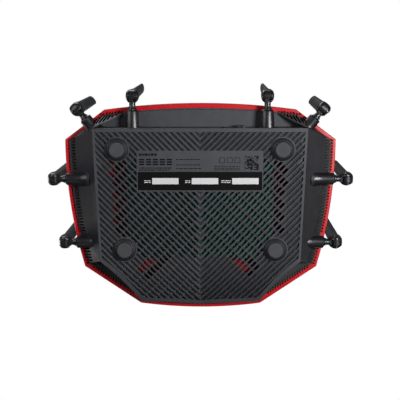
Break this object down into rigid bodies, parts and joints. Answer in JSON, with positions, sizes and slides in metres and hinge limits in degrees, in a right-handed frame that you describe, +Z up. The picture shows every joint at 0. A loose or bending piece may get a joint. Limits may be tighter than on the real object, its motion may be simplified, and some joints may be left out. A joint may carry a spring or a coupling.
{
  "type": "wireless router",
  "caption": "Flat six-sided wireless router: black vented base, red mid frame, black faceted top, folding antennas on swivelling stems around the rear and sides, rear sockets and rubber feet.",
  "frame": {"origin": "on the resting surface, under the middle of the bounding box", "axes": "+Z up, +Y towards the rear with the sockets, +X towards the right of a person facing the front"},
  "size_m": [0.3084, 0.2238, 0.1682],
  "materials": {
    "cover_black": "fine-textured moulded black ABS",
    "frame_red": "red moulded plastic with a satin sheen",
    "top_black": "satin black moulded plastic",
    "panel_gloss": "piano black",
    "light_diffuser": "milky light diffuser",
    "port_black": "black moulded plastic",
    "label_film": "printed black film label with white fields",
    "board_green": "green solder mask",
    "sink_aluminium": "extruded aluminium",
    "shield_tin": "tinned sheet steel",
    "socket_blue": "blue moulded socket",
    "socket_yellow": "yellow moulded sockets",
    "socket_black": "black moulded socket or switch",
    "button_black": "black moulded button",
    "foot_rubber": "soft grey-black rubber",
    "screw_steel": "zinc plated steel",
    "antenna_black": "satin black moulded plastic",
    "pin_steel": "steel pin",
    "lead_black": "thin black coaxial lead"
  },
  "bodies": {
    "case": {"bottom_cover": "cover_black", "mid_frame": "frame_red", "top_cover": "top_black", "top_panel": "panel_gloss", "light_bar": "light_diffuser", "port_panel": "port_black", "rating_label": "label_film", "main_board": "board_green", "heat_sink": "sink_aluminium", "shield_can_left": "shield_tin", "shield_can_right": "shield_tin", "wan_jack": "socket_blue", "lan_jack_block": "socket_yellow", "power_jack": "socket_black", "power_switch": "socket_black", "reset_switch": "socket_black", "foot_pad_rear_left": "foot_rubber", "case_screw_rear_left": "screw_steel", "foot_pad_front_left": "foot_rubber", "case_screw_front_left": "screw_steel", "aerial_lead_rear_left": "lead_black", "aerial_lead_corner_left": "lead_black", "aerial_lead_side_rear_left": "lead_black", "aerial_lead_side_front_left": "lead_black", "foot_pad_rear_right": "foot_rubber", "case_screw_rear_right": "screw_steel", "foot_pad_front_right": "foot_rubber", "case_screw_front_right": "screw_steel", "aerial_lead_rear_right": "lead_black", "aerial_lead_corner_right": "lead_black", "aerial_lead_side_rear_right": "lead_black", "aerial_lead_side_front_right": "lead_black"},
    "power_button_cap": {"power_button": "button_black"},
    "reset_button_cap": {"reset_button": "button_black"},
    "rear_left_stem": {"stem_rear_left": "antenna_black", "hinge_pin_rear_left": "pin_steel"},
    "rear_left_aerial": {"blade_rear_left": "antenna_black"},
    "corner_left_stem": {"stem_corner_left": "antenna_black", "hinge_pin_corner_left": "pin_steel"},
    "corner_left_aerial": {"blade_corner_left": "antenna_black"},
    "side_rear_left_stem": {"stem_side_rear_left": "antenna_black", "hinge_pin_side_rear_left": "pin_steel"},
    "side_rear_left_aerial": {"blade_side_rear_left": "antenna_black"},
    "side_front_left_stem": {"stem_side_front_left": "antenna_black", "hinge_pin_side_front_left": "pin_steel"},
    "side_front_left_aerial": {"blade_side_front_left": "antenna_black"},
    "rear_right_stem": {"stem_rear_right": "antenna_black", "hinge_pin_rear_right": "pin_steel"},
    "rear_right_aerial": {"blade_rear_right": "antenna_black"},
    "corner_right_stem": {"stem_corner_right": "antenna_black", "hinge_pin_corner_right": "pin_steel"},
    "corner_right_aerial": {"blade_corner_right": "antenna_black"},
    "side_rear_right_stem": {"stem_side_rear_right": "antenna_black", "hinge_pin_side_rear_right": "pin_steel"},
    "side_rear_right_aerial": {"blade_side_rear_right": "antenna_black"},
    "side_front_right_stem": {"stem_side_front_right": "antenna_black", "hinge_pin_side_front_right": "pin_steel"},
    "side_front_right_aerial": {"blade_side_front_right": "antenna_black"}
  },
  "joints": [
    {"name": "rear_left_swivel", "type": "hinge", "parent": "case", "child": "rear_left_stem", "pos_m": [-0.0676, 0.0915, 0.0182], "axis": [0, 1, 0], "range_deg": [-18, 45]},
    {"name": "rear_left_fold", "type": "hinge", "parent": "rear_left_stem", "child": "rear_left_aerial", "pos_m": [-0.0676, 0.1049, 0.0182], "axis": [-1, 0, 0], "range_deg": [0, 90]},
    {"name": "corner_left_swivel", "type": "hinge", "parent": "case", "child": "corner_left_stem", "pos_m": [-0.1156, 0.0832, 0.0182], "axis": [-0.6561, 0.7547, 0], "range_deg": [-90, 90]},
    {"name": "corner_left_fold", "type": "hinge", "parent": "corner_left_stem", "child": "corner_left_aerial", "pos_m": [-0.12321, 0.09195, 0.0182], "axis": [-0.7547, -0.6561, 0], "range_deg": [0, 90]},
    {"name": "side_rear_left_swivel", "type": "hinge", "parent": "case", "child": "side_rear_left_stem", "pos_m": [-0.1354, 0.0216, 0.0182], "axis": [-1, 0, 0], "range_deg": [-20, 90]},
    {"name": "side_rear_left_fold", "type": "hinge", "parent": "side_rear_left_stem", "child": "side_rear_left_aerial", "pos_m": [-0.1472, 0.0216, 0.0182], "axis": [0, -1, 0], "range_deg": [0, 90]},
    {"name": "side_front_left_swivel", "type": "hinge", "parent": "case", "child": "side_front_left_stem", "pos_m": [-0.1257, -0.0428, 0.0182], "axis": [-1, 0, 0], "range_deg": [-90, 20]},
    {"name": "side_front_left_fold", "type": "hinge", "parent": "side_front_left_stem", "child": "side_front_left_aerial", "pos_m": [-0.1371, -0.0428, 0.0182], "axis": [0, -1, 0], "range_deg": [0, 90]},
    {"name": "rear_right_swivel", "type": "hinge", "parent": "case", "child": "rear_right_stem", "pos_m": [0.0676, 0.0915, 0.0182], "axis": [0, 1, 0], "range_deg": [-45, 18]},
    {"name": "rear_right_fold", "type": "hinge", "parent": "rear_right_stem", "child": "rear_right_aerial", "pos_m": [0.0676, 0.1049, 0.0182], "axis": [-1, 0, 0], "range_deg": [0, 90]},
    {"name": "corner_right_swivel", "type": "hinge", "parent": "case", "child": "corner_right_stem", "pos_m": [0.1156, 0.0832, 0.0182], "axis": [0.6561, 0.7547, 0], "range_deg": [-90, 90]},
    {"name": "corner_right_fold", "type": "hinge", "parent": "corner_right_stem", "child": "corner_right_aerial", "pos_m": [0.12321, 0.09195, 0.0182], "axis": [-0.7547, 0.6561, 0], "range_deg": [0, 90]},
    {"name": "side_rear_right_swivel", "type": "hinge", "parent": "case", "child": "side_rear_right_stem", "pos_m": [0.1354, 0.0216, 0.0182], "axis": [1, 0, 0], "range_deg": [-90, 20]},
    {"name": "side_rear_right_fold", "type": "hinge", "parent": "side_rear_right_stem", "child": "side_rear_right_aerial", "pos_m": [0.1472, 0.0216, 0.0182], "axis": [0, 1, 0], "range_deg": [0, 90]},
    {"name": "side_front_right_swivel", "type": "hinge", "parent": "case", "child": "side_front_right_stem", "pos_m": [0.1257, -0.0428, 0.0182], "axis": [1, 0, 0], "range_deg": [-20, 90]},
    {"name": "side_front_right_fold", "type": "hinge", "parent": "side_front_right_stem", "child": "side_front_right_aerial", "pos_m": [0.1371, -0.0428, 0.0182], "axis": [0, 1, 0], "range_deg": [0, 90]},
    {"name": "power_button_press", "type": "slide", "parent": "case", "child": "power_button_cap", "axis": [0, -1, 0], "range_m": [0, 0.0015], "stiffness_N_per_m": 800, "springref_m": -0.001},
    {"name": "reset_button_press", "type": "slide", "parent": "case", "child": "reset_button_cap", "axis": [0, -1, 0], "range_m": [0, 0.0008], "stiffness_N_per_m": 600, "springref_m": -0.0005}
  ]
}
